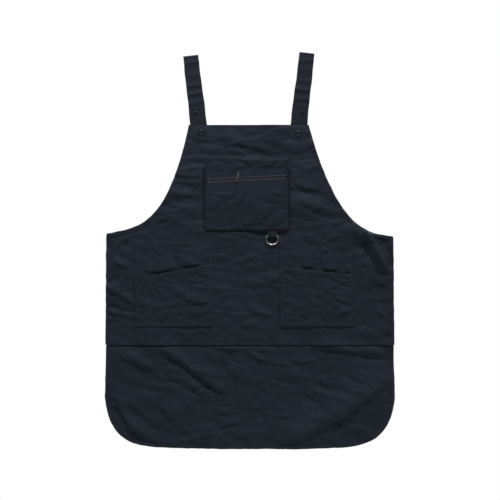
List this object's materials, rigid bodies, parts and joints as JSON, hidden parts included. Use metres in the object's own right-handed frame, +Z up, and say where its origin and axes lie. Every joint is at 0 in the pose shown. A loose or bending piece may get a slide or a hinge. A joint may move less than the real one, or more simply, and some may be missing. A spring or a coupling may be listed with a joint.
{
  "type": "artist smock apron",
  "caption": "Bib apron with press-stud shoulder straps, zipped chest pocket, D-ring tab, layered side pockets and a lapped lower skirt with rounded corners.",
  "frame": {"origin": "midway between the two shoulder folds, where the straps turn over a shoulder or a hanging rail", "axes": "+Z up, -Y is the apron's front, +X to the right as seen from the front"},
  "size_m": [0.7542, 0.034, 1.0344],
  "materials": {
    "cloth": "dark navy cotton twill, soft matt with a faint sheen",
    "strap_cloth": "dark navy cotton twill, doubled and topstitched",
    "zip_tape": "dark navy woven zip tape",
    "zip_coil": "dark copper-brown nylon coil, satin",
    "dark_metal": "dark gunmetal press studs, satin",
    "nickel": "nickel-plated zip slider, puller and stops",
    "pale_metal": "pale nickel-plated bent wire ring, satin"
  },
  "bodies": {
    "apron": {"body_panel": "cloth", "skirt_panel": "cloth", "bib_facing": "cloth", "skirt_binding": "cloth", "chest_pocket_gusset": "cloth", "chest_pocket_upper_panel": "cloth", "chest_pocket_lower_panel": "cloth", "armhole_binding_left": "cloth", "armhole_binding_right": "cloth", "side_binding_left": "cloth", "side_binding_right": "cloth", "left_pocket_rear_layer": "cloth", "left_pocket_front_layer": "cloth", "right_pocket_rear_layer": "cloth", "right_pocket_front_layer": "cloth", "shoulder_strap_left": "strap_cloth", "shoulder_strap_right": "strap_cloth", "waist_band": "strap_cloth", "d_ring_tab": "strap_cloth", "zip_tape_upper": "zip_tape", "zip_tape_lower": "zip_tape", "zip_coil_upper": "zip_coil", "zip_coil_lower": "zip_coil", "snap_cap_left": "dark_metal", "snap_cap_right": "dark_metal", "snap_socket_left": "dark_metal", "snap_socket_right": "dark_metal", "snap_stud_left": "dark_metal", "snap_stud_right": "dark_metal", "snap_post_left": "dark_metal", "snap_post_right": "dark_metal", "spare_stud_left": "dark_metal", "spare_stud_right": "dark_metal", "spare_post_left": "dark_metal", "spare_post_right": "dark_metal", "zip_top_stop_upper": "nickel", "zip_top_stop_lower": "nickel", "zip_bottom_stop": "nickel"},
    "zip_slider": {"zip_slider": "nickel"},
    "zip_puller": {"zip_puller": "nickel"},
    "d_ring": {"d_ring": "pale_metal"}
  },
  "joints": [
    {"name": "zip_slide", "type": "slide", "parent": "apron", "child": "zip_slider", "axis": [0.9987, 0, 0.0506], "range_m": [-0.064, 0.1185]},
    {"name": "puller_flip", "type": "hinge", "parent": "zip_slider", "child": "zip_puller", "pos_m": [-0.03417, -0.0174, -0.33118], "axis": [0.9532, 0, -0.3024], "range_deg": [0, 169]},
    {"name": "d_ring_swing", "type": "hinge", "parent": "apron", "child": "d_ring", "pos_m": [0.059, -0.0043, -0.4755], "axis": [-1, 0, 0], "range_deg": [-3.5, 138]}
  ]
}
